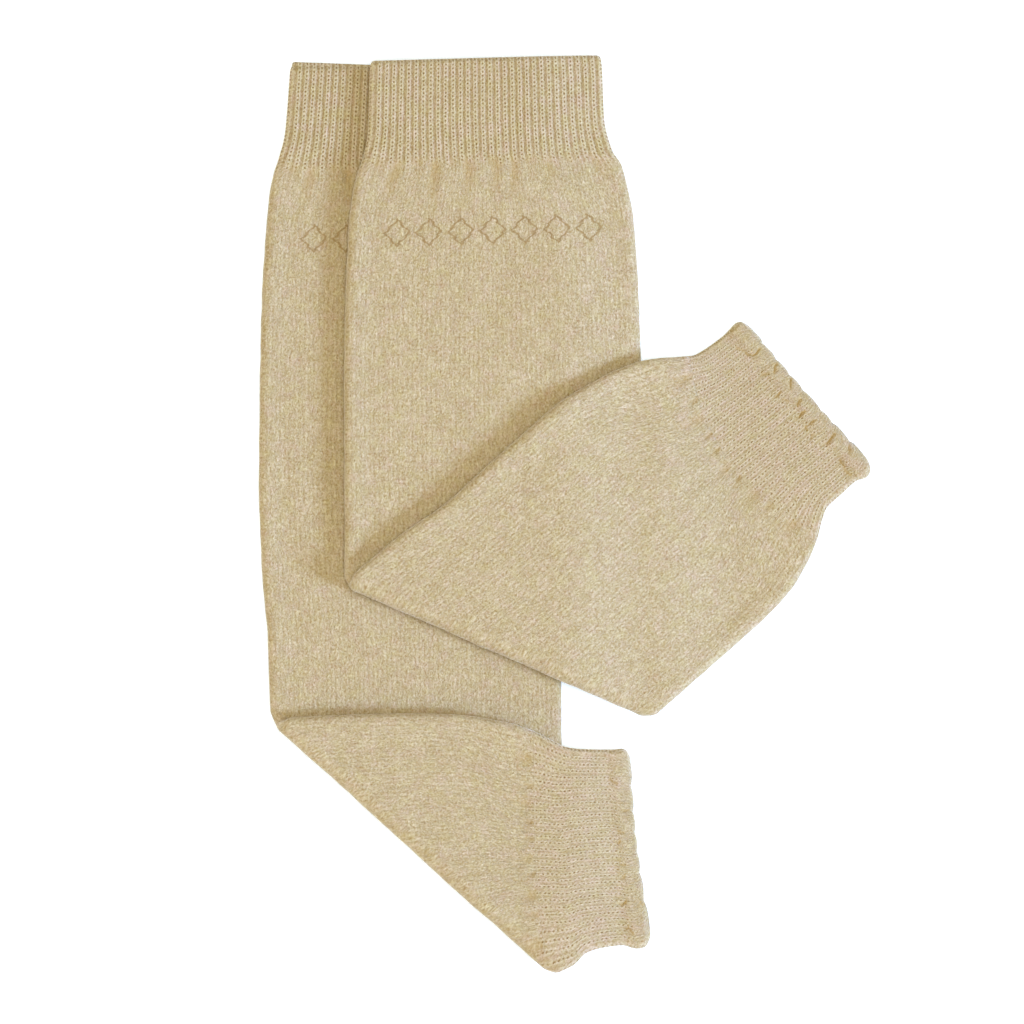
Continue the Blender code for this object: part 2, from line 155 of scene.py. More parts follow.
OVER = Leg(
    name="over",
    place=(-24.2, 136.9),
    heading=1.6,
    top_slant=0.0,
    ankle_start=268.7,
    ankle_slant=-2.8,
    ankle_bow=8.2,
    frill_start=294.1,
    end=299.5,
    end_slant=0.2,
    end_bow=0.5,
    fold_station=179.7,
    fold_angle=25.2,
    chart=(
        Section(0.0, 0.0, 34.3, 2.9, 0.0, 0.0),
        Section(1.5, 0.0, 34.9, TUBE, 0.0, 0.0),
        Section(20.0, -0.3, 35.7, TUBE, 0.2, 0.2),
        Section(29.0, -0.1, 37.7, TUBE, 0.3, 0.3),
        Section(33.0, 0.3, 39.6, TUBE, 0.4, 0.4),
        Section(37.0, 0.2, 40.8, TUBE, 0.5, 0.5),
        Section(50.0, 0.3, 43.0, TUBE, 0.8, 0.8),
        Section(74.0, -0.1, 44.3, TUBE, 0.8, 0.5),
        Section(100.0, -0.6, 44.9, TUBE, 0.8, 0.0),
        Section(130.0, -0.9, 45.3, TUBE, 0.8, 0.0),
        Section(150.0, -1.1, 45.6, TUBE, 0.3, 0.0),
        Section(165.0, -1.4, 46.1, TUBE, 0.1, 0.0),
        Section(180.0, -1.2, 45.8, TUBE, 0.3, 0.0),
        Section(198.0, -0.5, 44.8, TUBE, 0.8, 0.0),
        Section(218.0, -0.6, 45.0, TUBE, 0.8, 0.5),
        Section(240.0, -0.7, 45.0, TUBE, 0.8, 0.8),
        Section(256.0, 0.1, 43.0, TUBE, 0.6, 0.6),
        Section(268.0, 0.2, 39.0, TUBE, 0.2, 0.2),
        Section(273.0, 0.4, 36.2, TUBE, 0.0, 0.0),
        Section(278.0, 0.6, 32.6, TUBE, 0.0, 0.0),
        Section(282.0, 1.0, 30.4, TUBE, 0.0, 0.0),
        Section(288.0, 1.4, 29.9, TUBE, 0.0, 0.0),
        Section(293.0, 1.5, 29.7, TUBE, 0.0, 0.0),
        Section(296.0, 1.9, 30.1, 4.3, 0.0, 0.0),
        Section(298.5, 1.7, 30.0, 4.3, 0.0, 0.0),
        Section(300.0, 1.5, 29.3, 3.2, 0.0, 0.0),
    ),
    lies_on=UNDER,
)
PAIR = (UNDER, OVER)


def smooth_step(t):
    """0 below t = 0, 1 above t = 1, and 3t^2 - 2t^3 between them."""
    t = np.clip(t, 0.0, 1.0)
    return t * t * (3.0 - 2.0 * t)


def read_chart(leg, column, station):
    """The chart's column at any station, on a cubic curve through its rows whose slope at a row is
    the harmonic mean of the slopes on both sides, or 0 at a turning point."""
    known = np.array([row.station for row in leg.chart])
    value = np.array([getattr(row, column) for row in leg.chart])
    step = np.diff(known)
    rise = np.diff(value) / step
    slope = np.zeros(len(known))
    same_way = rise[1:] * rise[:-1] > 0
    slope[1:-1][same_way] = 2.0 / (1.0 / rise[1:][same_way] + 1.0 / rise[:-1][same_way])
    slope[0] = rise[0]
    slope[-1] = rise[-1]
    station = np.clip(station, known[0], known[-1])
    i = np.clip(np.searchsorted(known, station, side="right") - 1, 0, len(step) - 1)
    t = (station - known[i]) / step[i]
    start = value[i] * (1 + 2 * t) * (1 - t) ** 2 + slope[i] * step[i] * t * (1 - t) ** 2
    end = value[i + 1] * t * t * (3 - 2 * t) + slope[i + 1] * step[i] * t * t * (t - 1)
    return start + end


def across(wale):
    """-1 at the left side of the flat tube and 1 at its right side, for a column of stitches.
    Columns run 0 to 60 over the front, 60 to 64 round the right side, 64 to 124 over the back and
    124 to 128 round the left side."""
    front = 2.0 * np.clip(wale / FACE_WALES, 0.0, 1.0) - 1.0
    back = 2.0 * np.clip((wale - FACE_WALES - SIDE_WALES) / FACE_WALES, 0.0, 1.0) - 1.0
    return np.where(wale < FACE_WALES + SIDE_WALES / 2, front, -back)


def facing(wale):
    """The way the outside faces at a column: 0 for the front, half a turn for the back."""
    right_side = np.clip((wale - FACE_WALES) / SIDE_WALES, 0.0, 1.0)
    left_side = np.clip((wale - ALL_WALES) / SIDE_WALES + 1.0, 0.0, 1.0)
    return math.pi * (right_side + left_side)


def place_across(leg, share, station):
    """Where a column lies across the flat tube, from -1 to 1. On a cuff the columns run straight,
    and only those near the sides spread with the cloth, by the fourth power of their share."""
    half = read_chart(leg, "half", station)
    near_top = 1.0 - smooth_step((station - TOP_CUFF_LENGTH) / GATHER_LENGTH)
    near_ankle = smooth_step((station - leg.ankle_start) / GATHER_LENGTH + 1.0)
    drawn_in = near_top * np.clip(1.0 - TOP_CUFF_HALF / half, 0.0, 1.0)
    drawn_in = drawn_in + near_ankle * np.clip(1.0 - ANKLE_CUFF_HALF / half, 0.0, 1.0)
    return share * (1.0 - drawn_in * (1.0 - np.abs(share) ** 3))


def bend_length():
    """Half a turn of a circle that runs midway through the folded tube."""
    return math.pi * (FOLD_RADIUS - TUBE / 2)


def past_fold(leg, x, station):
    """How far a place on the flat tube lies beyond the start of the bend, square to the fold."""
    angle = math.radians(leg.fold_angle)
    start = leg.fold_station - FOLD_RADIUS / math.cos(angle)
    return (station - start) * math.cos(angle) - x * math.sin(angle)


def mid_bend(distance):
    """The square of a sine: 1 midway round the bend at the fold, and 0 at either end of it."""
    return np.sin(math.pi * np.clip(distance / bend_length(), 0.0, 1.0)) ** 2


def beyond_right_side(leg, x, station):
    """How far a place on the surface lies to the right of a leg's upper stretch."""
    return x - read_chart(leg, "centre", station) - read_chart(leg, "half", station)


def turned_by(degrees, x, y):
    """(x, y) turned about the origin."""
    turn = math.radians(degrees)
    return x * math.cos(turn) - y * math.sin(turn), x * math.sin(turn) + y * math.cos(turn)


def finished_edge(leg, share):
    """The station of the lower end, which slants and bows across the leg."""
    return leg.end + leg.end_slant * share + leg.end_bow * share**2


def rounded_corner(leg, share, station):
    """How far the half width draws in towards the lower end, on a quarter circle."""
    near_end = np.clip((station - finished_edge(leg, share)) / EAR_RADIUS + 1.0, 0.0, 1.0)
    return EAR_RADIUS * (1.0 - np.sqrt(1.0 - near_end**2))


def lay(leg, wale, station, depth, lift):
    """Points in metres of the tube as it lies. The flat tube's section is two straight faces and
    two half circles. It is bent over a circle along the slanting fold, and let down by a smooth
    step past each edge of what it lies on. depth is 0 on the outside of the wall and 1 on the
    inside. lift moves the wall out on the face that shows; on the other face nothing stands above
    the wall."""
    share = place_across(leg, across(wale), station)
    half = read_chart(leg, "half", station) - rounded_corner(leg, across(wale), station)
    centre = read_chart(leg, "centre", station)
    thickness = read_chart(leg, "thickness", station)
    left_rim = read_chart(leg, "left_rim", station)
    right_rim = read_chart(leg, "right_rim", station)
    distance = past_fold(leg, centre + share * (half - TUBE / 2), station)
    turned = smooth_step(distance / bend_length())
    half = half - FOLD_CORNER * mid_bend(distance) * np.abs(share) ** 8
    near_side = smooth_step(1.0 - (1.0 - np.abs(share)) * half / RIM_WIDTH)
    rim = np.where(share < 0, left_rim, right_rim) * near_side
    front = thickness + (TUBE - thickness) * turned + rim * (1.0 - turned)
    back = (TUBE - thickness - rim) * turned
    wall = np.minimum(CLOTH, thickness / 2 - LEAST_HOLLOW)
    radius = (front - back) / 2
    turn = facing(wale)
    shown = 0.5 + 0.5 * np.cos(turn) * (1.0 - 2.0 * turned)
    lift = lift * shown + (np.minimum(lift, HIDDEN_PEAK) - HIDDEN_PEAK) * (1.0 - shown)
    reach = radius - wall * depth + lift * (1.0 - depth)
    x = centre + share * (half - radius) + reach * np.sin(turn)
    height = (front + back) / 2 + reach * np.cos(turn)

    distance = past_fold(leg, x, station)
    bent = math.pi * np.clip(distance / bend_length(), 0.0, 1.0)
    beyond = np.maximum(distance - bend_length(), 0.0)
    radius = FOLD_RADIUS - height
    moved = np.where(distance > 0, radius * np.sin(bent) - beyond, distance) - distance
    height = np.where(distance > 0, FOLD_RADIUS - radius * np.cos(bent), height)
    angle = math.radians(leg.fold_angle)
    x = x - moved * math.sin(angle)
    y = -station - moved * math.cos(angle)

    own_side = smooth_step(beyond_right_side(leg, x, -y) / DRAPE_WIDTH)
    past_bend = smooth_step(beyond / bend_length())
    height = height - (2 * FOLD_RADIUS - TUBE) * own_side * past_bend
    x, y = turned_by(leg.heading, x, y)
    x, y = x + leg.place[0], y + leg.place[1]
    under = leg.lies_on
    if under is not None:
        under_x, under_y = turned_by(-under.heading, x - under.place[0], y - under.place[1])
        off_it = smooth_step(beyond_right_side(under, under_x, -under_y) / DRAPE_WIDTH)
        height = height + OVER_LIFT * (1.0 - off_it)
    return np.stack([x, y, height], axis=-1) * MM


def columns(front, side, back):
    """Columns of grid points round the tube: how many on the front, each side and the back."""
    return np.concatenate([
        np.arange(front) * FACE_WALES / front,
        FACE_WALES + np.arange(side) * SIDE_WALES / side,
        FACE_WALES + SIDE_WALES + np.arange(back) * FACE_WALES / back,
        ALL_WALES - SIDE_WALES + np.arange(side) * SIDE_WALES / side,
    ])


def between(start, end, count):
    """That many rows of stations, evenly from start to end."""
    shares = np.linspace(0.0, 1.0, count)
    return np.outer(1.0 - shares, start) + np.outer(shares, end)


def rounded_end(edge, outward):
    """(stations, depth) of the five rows that turn round an open end, on half a circle from the
    outside of the wall to its inside. outward is -1 at the top of the tube and 1 at its bottom."""
    turn = math.pi * np.arange(1, 6) / 6
    return edge + outward * LIP * np.outer(np.sin(turn), np.ones_like(edge)), (1 - np.cos(turn)) / 2


def wall_rows(*stretches):
    """(stations, depth) of all the rows round the wall, from pairs of the same for each stretch."""
    station = np.concatenate([rows for rows, depth in stretches])
    depth = np.concatenate([np.broadcast_to(depth, len(rows)) for rows, depth in stretches])
    return station, depth[:, None]


def knit_mesh(name, points, wale, course, ribbed, creased=0.0):
    """A mesh whose faces join each grid point to the next, on round the tube and on round the wall,
    so it is closed. Its UV map counts columns and rows of stitches. Its attributes say how far the
    knitting is rib, and how deep in a crease it lies, which sets the painted shade laid there."""
    number = np.arange(points.shape[0] * points.shape[1]).reshape(points.shape[:2])
    below = np.roll(number, -1, axis=0)
    beside = [np.roll(below, -1, axis=1), np.roll(number, -1, axis=1)]
    quads = np.stack([number, below, *beside], axis=-1)
    mesh = bpy.data.meshes.new(name)
    mesh.from_pydata(points.reshape(-1, 3), [], quads.reshape(-1, 4))
    left = np.broadcast_to(wale, number.shape)
    right = np.broadcast_to(np.append(wale[1:], ALL_WALES), number.shape)
    lower = np.roll(course, -1, axis=0)
    beside = [np.roll(lower, -1, axis=1), np.roll(course, -1, axis=1)]
    along = np.stack([course, lower, *beside], axis=-1)
    corners = np.stack([np.stack([left, left, right, right], axis=-1), along], axis=-1)
    mesh.uv_layers.new(name="stitches").uv.foreach_set("vector", corners.astype(np.float32).ravel())
    for attribute, values in (("ribbed", ribbed), ("creased", creased)):
        layer = mesh.attributes.new(attribute, "FLOAT", "POINT")
        values = np.broadcast_to(values, number.shape).astype(np.float32)
        layer.data.foreach_set("value", values.ravel())
    mesh.shade_smooth()
    mesh.set_sharp_from_angle(angle=math.radians(SHARP_DEGREES))
    piece = bpy.data.objects.new(name, mesh)
    bpy.context.scene.collection.objects.link(piece)
    return piece


def rib_stitches(wale, course, rib_height, fade, fill=0.0):
    """The lift of a rib and its stitches. A rib is a low power of a cosine over two columns. Each
    stitch on it is two ridges, parabolas that meet at its ends and bow apart round a hollow. fade
    is 0 where the ribs have died out, and fill raises the groove between the ribs."""
    place = np.abs(np.mod(wale, 2.0) - 1.0)
    swell = np.sin(math.pi * np.mod(course, 1.0))
    rib = np.cos(place * math.pi / 2) ** 0.45
    from_ridge = (place - RIDGE_PLACE - RIDGE_BOW * swell) / (RIDGE_WIDTH - RIDGE_TAPER * swell)
    stitch = np.clip(1.0 - from_ridge**2, 0.0, 1.0)
    stitch = stitch + fill * smooth_step((place - 0.5) / 0.3)
    return ((rib - 0.5) * rib_height + (stitch - 0.5) * STITCH_HEIGHT * rib) * fade


class Wire:
    """One shader socket. Sums on it add Math nodes, and node() adds any other node."""

    def __init__(self, tree, socket=None):
        self.tree = tree
        self.socket = socket

    def node(self, kind, settings=None, sockets=None, output=0):
        """A new node of this kind, as its output: first its settings, then its sockets' values or
        links. The setting "stops" holds a ramp's places and colours."""
        made = self.tree.nodes.new(kind)
        for name, value in (settings or {}).items():
            if name == "stops":
                ramp = made.color_ramp.elements
                while len(ramp) < len(value):
                    ramp.new(0.5)
                for stop, (place, colour) in zip(ramp, value):
                    stop.position = place
                    stop.color = (*colour, 1.0)
            else:
                setattr(made, name, value)
        for name, value in (sockets or {}).items():
            if isinstance(value, Wire):
                self.tree.links.new(value.socket, made.inputs[name])
            else:
                made.inputs[name].default_value = value
        return Wire(self.tree, made.outputs[output])

    def maths(self, operation, *values, clamp=False):
        settings = {"operation": operation, "use_clamp": clamp}
        return self.node("ShaderNodeMath", settings, dict(enumerate(values)))

    def __add__(self, other):
        return self.maths("ADD", self, other)

    def __sub__(self, other):
        return self.maths("SUBTRACT", self, other)

    def __rsub__(self, other):
        return self.maths("SUBTRACT", other, self)

    def __mul__(self, other):
        return self.maths("MULTIPLY", self, other)

    def __truediv__(self, other):
        return self.maths("DIVIDE", self, other)

    def __pow__(self, other):
        return self.maths("POWER", self, other)

    __radd__ = __add__
    __rmul__ = __mul__

    def __abs__(self):
        return self.maths("ABSOLUTE", self)

    def fraction(self):
        return self.maths("FRACT", self)

    def sine(self):
        return self.maths("SINE", self)

    def held(self):
        """The value, held between 0 and 1."""
        return self.maths("ADD", self, 0.0, clamp=True)

    def step_from(self, low, high):
        """A smooth step from 0 at low to 1 at high."""
        settings = {"interpolation_type": "SMOOTHSTEP"}
        return self.node("ShaderNodeMapRange", settings, {0: self, 1: low, 2: high})

    def mix(self, first, second, blend="MIX"):
        """first where this wire is 0 and second where it is 1, both colours. With the blend
        MULTIPLY it is first times second there."""
        settings = {"data_type": "RGBA", "blend_type": blend}
        return self.node("ShaderNodeMix", settings, {0: self, 6: first, 7: second}, output=2)

    def noise(self, stretch, detail=2.0, roughness=0.5, distortion=0.0):
        """Noise along this wire, a vector that is first multiplied by stretch."""
        scaled = self.node("ShaderNodeVectorMath", {"operation": "MULTIPLY"}, {0: self, 1: stretch})
        sockets = {"Vector": scaled, "Scale": 1.0, "Detail": detail, "Roughness": roughness}
        sockets["Distortion"] = distortion
        return self.node("ShaderNodeTexNoise", {"noise_dimensions": "3D"}, sockets)


WOOL_TONES = (
    (0.0, (0.25, 0.15, 0.054)),
    (0.3, (0.38, 0.288, 0.155)),
    (0.55, (0.485, 0.4, 0.258)),
    (0.8, (0.578, 0.504, 0.35)),
    (1.0, (0.72, 0.643, 0.486)),
)
ROSE_TINT = (1.04, 0.98, 1.1, 1.0)
OLIVE_TINT = (0.98, 0.995, 0.86, 1.0)
# The ochre of the painted shade laid into creases and the troughs of puckers.
CREASE_SHADE_OCHRE = (0.42, 0.29, 0.11, 1.0)
MOTIF_TAN = (0.3, 0.2, 0.085, 1.0)
NAP_FINISH = {
    "Roughness": 0.95,
    "Specular IOR Level": 0.2,
    "Sheen Weight": 0.8,
    "Sheen Roughness": 0.35,
    "Sheen Tint": (1.0, 0.95, 0.86, 1.0),
}

# How fine the wool's noises are, for each metre of the piece or each stitch of its UV map.
CLOUDS_A_METRE = (70.0, 70.0, 70.0)
HUES_A_METRE = (230.0, 230.0, 230.0)
MOTTLE_A_METRE = (300.0, 300.0, 300.0)
DRIFT_A_METRE = (900.0, 900.0, 900.0)
STREAKS_A_STITCH = (0.9, 0.2, 1.0)
CURLS_A_STITCH = (1.6, 0.7, 1.0)
GRAIN_A_STITCH = (2.5, 1.8, 1.0)

# How much each part of the pattern and each noise changes the wool's tone, in shares of the way
# from its darkest to its palest.
RIDGE_TONE = 0.34
# The next two are painted shade, darkening the hollow of each rib stitch and the groove between
# ribs.
HOLLOW_SHADE_TONE = 0.38
GROOVE_SHADE_TONE = 0.03
PART_RIB_TONE = 0.05
NAPPED_TONE = 0.05
BARE_TONE = 0.14
CLOUD_TONE = 0.1
MOTTLE_TONE = 0.22
STREAK_TONE = 0.18
STRAND_TONE = 0.28
GRAIN_TONE = 1.1

# How much each of them raises the bump, in shares of BUMP_DEPTH, which is in metres.
BUMP_DEPTH = 0.0003
RIDGE_BUMP = 0.45
HOLLOW_BUMP = 0.3
NAPPED_BUMP = 0.08
BARE_BUMP = 0.28
STRAND_BUMP = 0.3
GRAIN_BUMP = 0.4
MOTTLE_BUMP = 0.4

# How far a tint goes with its noise, and how strongly the painted crease shade and the motif are
# coloured.
TINT_STEP = (0.47, 0.72)
CREASE_SHADE_SHARE = 0.9
MOTIF_SHARE = 0.85


def rib_pattern(column, row, ribbed):
    """(tone, height) of rib: two pale legs on each stitch that bow apart round a hollow, and a
    groove between one rib and the next. Painted shade darkens the hollow, and painted shade of a
    brown tint lies in the groove. The sums are those of the ribs' form. The groove is faint where
    the knitting is only partly rib."""
    place = abs((column * 0.5).fraction() * 2.0 - 1.0)
    swell = (row.fraction() * math.pi).sine().held()
    from_ridge = (place - RIDGE_PLACE - swell * RIDGE_BOW) / (RIDGE_WIDTH - swell * RIDGE_TAPER)
    stitch = (1.0 - from_ridge**2.0).held()
    hollow = (1.0 - place.step_from(0.05, 0.42)) * swell**5.0
    groove = place.step_from(0.62, 0.95) * ribbed**2.0
    filled = stitch + (1.0 - ribbed) * place.step_from(0.5, 0.8) * 0.9
    tone = (filled - 0.6) * RIDGE_TONE - hollow * HOLLOW_SHADE_TONE - groove * GROOVE_SHADE_TONE
    tone = tone - (1.0 - ribbed) * PART_RIB_TONE
    return tone, filled * RIDGE_BUMP - hollow * HOLLOW_BUMP


def plain_pattern(column, row, bare):
    """(tone, height) of plain knitting half hidden by its nap. Each column is a pale line, cut into
    slanting legs by a sine whose phase runs on from its middle to its edges. The darker gaps
    between the lines are painted shade in the grooves between columns. bare is 1 where the nap is
    thin."""
    place = abs(column.fraction() * 2.0 - 1.0)
    line = 1.0 - place**1.6
    slanting = ((row + place * 0.55).fraction() * math.pi).sine().held() ** 0.6
    stitch = line * (0.55 + slanting * 0.45)
    tone = (stitch - 0.5) * (NAPPED_TONE + bare * BARE_TONE)
    return tone, stitch * (NAPPED_BUMP + bare * BARE_BUMP)


# A row of seven small lozenges is knitted in below the top cuff, as a thin line of darker yarn.
MOTIF_FIRST_WALE = 6.0
MOTIF_PERIOD = 7.0
MOTIF_COUNT = 7
MOTIF_MIDDLE_ROW = 43.2
MOTIF_HALF_WIDTH = 2.7
MOTIF_HALF_HEIGHT = 3.3


def motif(column, row):
    """1 on the lozenges' outlines, where the shares of half their width and half their height add
    up to 1. The line steps from side to side from one row of stitches to the next."""
    step = (row * 0.5).fraction().step_from(0.4, 0.6) * 0.35
    along = (column - MOTIF_FIRST_WALE + step) / MOTIF_PERIOD
    sideways = abs(along.fraction() - 0.5) * (MOTIF_PERIOD / MOTIF_HALF_WIDTH)
    upward = abs(row - MOTIF_MIDDLE_ROW) / MOTIF_HALF_HEIGHT
    line = 1.0 - abs(sideways + upward - 1.0).step_from(0.05, 0.17)
    first = along.maths("GREATER_THAN", along, 0.0)
    last = along.maths("LESS_THAN", along, float(MOTIF_COUNT))
    return line * first * last


def wool(name):
    """A beige wool. Its pattern passes from plain knitting to rib by the mesh's own attribute. Over
    it lie heathered patches, the nap's curled strands, and single fibres. Soft patches of rose and
    olive tint it, and painted shade of an ochre tint lies in its creases."""
    material = bpy.data.materials.new(name)
    material.use_nodes = True
    tree = material.node_tree
    shader = tree.nodes["Principled BSDF"]
    start = Wire(tree)
    place = start.node("ShaderNodeTexCoord", output=3)
    stitches = start.node("ShaderNodeUVMap", {"uv_map": "stitches"})
    ribbed = start.node("ShaderNodeAttribute", {"attribute_name": "ribbed"}, output=2)
    creased = start.node("ShaderNodeAttribute", {"attribute_name": "creased"}, output=2)
    column = start.node("ShaderNodeSeparateXYZ", sockets={0: stitches}, output=0)
    row = start.node("ShaderNodeSeparateXYZ", sockets={0: stitches}, output=1)
    clouds = place.noise(CLOUDS_A_METRE, detail=3.0)
    mottle = place.noise(MOTTLE_A_METRE, detail=3.0, roughness=0.6)
    hues = place.noise(HUES_A_METRE, detail=5.0, roughness=0.75)
    streaks = stitches.noise(STREAKS_A_STITCH, detail=3.0, roughness=0.65)
    curls = stitches.noise(CURLS_A_STITCH, detail=1.0, distortion=1.2)
    strands = 1.0 - (abs(curls - 0.5) * 9.0).held()
    grain = stitches.noise(GRAIN_A_STITCH, detail=1.5, roughness=0.75)
    drift = place.noise(DRIFT_A_METRE, detail=1.0) - 0.5
    uneven_column = column + drift * (0.8 - ribbed * 0.5)
    bare = (streaks * 0.6 + mottle * 0.4).step_from(0.4, 0.6)
    ribs = ribbed.step_from(0.15, 0.85)
    rib_tone, rib_height = rib_pattern(uneven_column, row + drift * 0.5, ribbed)
    plain_tone, plain_height = plain_pattern(uneven_column, row + drift, bare)
    nap = 1.0 - ribs * 0.4
    tone = 0.5 + plain_tone * (1.0 - ribs) + rib_tone * ribs
    tone = tone + (clouds - 0.5) * CLOUD_TONE + (mottle - 0.5) * MOTTLE_TONE
    tone = tone + (streaks - 0.5) * STREAK_TONE
    tone = tone + (strands - 0.4) * nap * STRAND_TONE + (grain - 0.5) * GRAIN_TONE
    colour = start.node("ShaderNodeValToRGB", {"stops": WOOL_TONES}, {0: tone.held()})
    hues = hues + ribs * ((1.0 - ribs) * 0.2 + (streaks - 0.5) * 0.7)
    colour = hues.step_from(*TINT_STEP).mix(colour, ROSE_TINT, "MULTIPLY")
    colour = (1.0 - hues).step_from(*TINT_STEP).mix(colour, OLIVE_TINT, "MULTIPLY")
    # Painted shade: ochre laid into the creases and pucker troughs, as deep as they lie.
    colour = (creased**0.6 * CREASE_SHADE_SHARE).mix(colour, CREASE_SHADE_OCHRE)
    colour = (motif(uneven_column, row) * (1.0 - ribs) * MOTIF_SHARE).mix(colour, MOTIF_TAN)
    height = plain_height * (1.0 - ribs) + rib_height * ribs
    height = height + strands * nap * STRAND_BUMP + grain * GRAIN_BUMP + mottle * MOTTLE_BUMP
    sockets = {"Strength": 1.0, "Distance": BUMP_DEPTH, "Height": height}
    bumped = start.node("ShaderNodeBump", sockets=sockets)
    tree.links.new(colour.socket, shader.inputs["Base Color"])
    tree.links.new(bumped.socket, shader.inputs["Normal"])
    for socket, value in NAP_FINISH.items():
        shader.inputs[socket].default_value = value
    return material


def finish_piece(piece, node, material):
    """Dresses a piece in its wool, hangs it on the root body, and hides the solid that it stands
    for.
    """
    piece.data.materials.append(material)
    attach(piece, "root")
    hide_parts(node)


rib_wool = wool("oatmeal_rib_wool")

for leg in PAIR:
    wale = columns(front=300, side=20, back=120)
    start = LIP + leg.top_slant * across(wale)
    end = np.full_like(wale, TOP_CUFF_LENGTH - SEAM / 2)
    outside = between(start, end, TOP_CUFF_COURSES * ROWS_PER_COURSE + 1)
    inside = between(end, start, TOP_CUFF_INSIDE_ROWS)
    lip, lip_depth = rounded_end(start, -1)
    station, depth = wall_rows((outside, 0.0), (inside, 1.0), (lip[::-1], lip_depth[::-1]))
    course = station * TOP_CUFF_COURSES / TOP_CUFF_LENGTH
    near_leg = smooth_step((TOP_CUFF_LENGTH - station) / TOP_RIB_END)
    near_edge = smooth_step(station / TOP_RIB_START + 0.3)
    lift = rib_stitches(wale, course, TOP_RIB_HEIGHT, near_leg * near_edge)
    points = lay(leg, wale, station, depth, lift)
    cuff = knit_mesh(leg.name + "_top_cuff_knit", points, wale, course, 1.0)
    finish_piece(cuff, leg.name + "_top_cuff", rib_wool)


# The plain legs.
# The real ones are a seamless tube of plain knitting with a soft raised nap, 64 columns of stitches
# across when pressed flat. Wool this fine shows as faint upright lines under heathered colour.

# How much higher the seam at the ankle runs in the bend, half the solids' gap at a seam, and the
# least length left below the start of the bend.
ANKLE_SLACK = 0.9
HALF_GAP = 0.15
NARROWEST_STRETCH = 8.0

# Rows of grid points down the outside of the wall and up its inside.
ABOVE_FOLD_ROWS = 201
FOLD_ROWS = 25
BELOW_FOLD_ROWS = 121
INSIDE_ROWS = 9
LONG_INSIDE_ROWS = 13

# The height and width of a plain stitch, how far its columns still look like rib beside a cuff,
# and how much like rib the ankle's are.
COURSE_HEIGHT = TOP_CUFF_LENGTH / TOP_CUFF_COURSES
WALE_WIDTH = 1.35
RIB_RUN_OUT = 4.0
ANKLE_RIBBED = 0.6

# Soft swells of the cloth: how far apart and how high they are, and the seed of their headings.
# Beside the cuffs they die out over a short way.
SWELLS = ((21.0, 0.25, 3), (7.0, 0.175, 8))
SWELL_START = 3.0

# Short puckers run out of both cuffs: where across the leg, as a share of half its width, and how
# wide, long and deep. Half the leg's width beside a cuff is about NEAR_CUFF_HALF.
NEAR_CUFF_HALF = 40.0
Pucker = namedtuple("Pucker", "share width length depth")
TOP_PUCKERS = (
    Pucker(-0.93, 2.2, 9.0, 0.33),
    Pucker(-0.80, 1.8, 16.0, 0.55),
    Pucker(-0.63, 2.5, 8.0, 0.28),
    Pucker(-0.47, 1.9, 19.0, 0.61),
    Pucker(-0.31, 2.2, 9.0, 0.28),
    Pucker(-0.20, 2.1, 18.0, 0.61),
    Pucker(0.04, 2.0, 15.0, 0.50),
    Pucker(0.20, 1.8, 18.0, 0.61),
    Pucker(0.37, 2.8, 10.0, 0.33),
    Pucker(0.52, 2.5, 14.0, 0.44),
    Pucker(0.70, 2.8, 9.0, 0.28),
    Pucker(0.88, 2.0, 13.0, 0.39),
)
ANKLE_PUCKERS = (
    Pucker(-0.86, 1.6, 9.0, 0.5),
    Pucker(-0.66, 0.9, 5.0, 0.7),
    Pucker(-0.50, 2.4, 11.0, 0.4),
    Pucker(-0.30, 0.9, 6.0, 0.8),
    Pucker(-0.12, 1.0, 5.0, 0.7),
    Pucker(0.08, 2.2, 10.0, 0.4),
    Pucker(0.24, 0.8, 5.0, 0.7),
    Pucker(0.45, 2.4, 9.0, 0.4),
    Pucker(0.62, 0.9, 6.0, 0.6),
    Pucker(0.84, 1.6, 9.0, 0.5),
)

# Soft ridges and troughs in the cloth, on the face that they are named for: where the middle is,
# the slant in degrees, the length and width, and the height, which is negative for a trough.
Crease = namedtuple("Crease", "face share station slant length width height")
CREASES = {
    "under": (
        Crease("front", -0.80, 120.0, 84.0, 60.0, 3.0, 0.25),
        Crease("front", -0.55, 200.0, 60.0, 26.0, 5.0, -0.22),
        Crease("front", 0.35, 216.0, 20.0, 20.0, 5.0, 0.20),
        Crease("back", -0.45, 262.0, 70.0, 18.0, 3.5, -0.28),
        Crease("back", 0.30, 248.0, 35.0, 24.0, 5.0, 0.22),
        Crease("back", 0.62, 262.0, 80.0, 14.0, 3.0, -0.28),
        Crease("back", -0.20, 160.0, 60.0, 40.0, 5.0, -0.20),
    ),
    "over": (
        Crease("front", 0.62, 46.0, 75.0, 14.0, 4.0, -0.35),
        Crease("front", -0.25, 92.0, 12.0, 34.0, 6.0, 0.22),
        Crease("front", 0.30, 104.0, 4.0, 30.0, 6.0, -0.25),
        Crease("front", -0.50, 138.0, 30.0, 22.0, 6.0, -0.25),
        Crease("back", 0.15, 205.0, 60.0, 30.0, 6.0, 0.15),
        Crease("back", -0.35, 232.0, 50.0, 26.0, 5.0, -0.16),
        Crease("back", 0.55, 246.0, 70.0, 22.0, 4.0, 0.18),
        Crease("back", 0.0, 256.0, 84.0, 12.0, 3.0, -0.25),
    ),
}


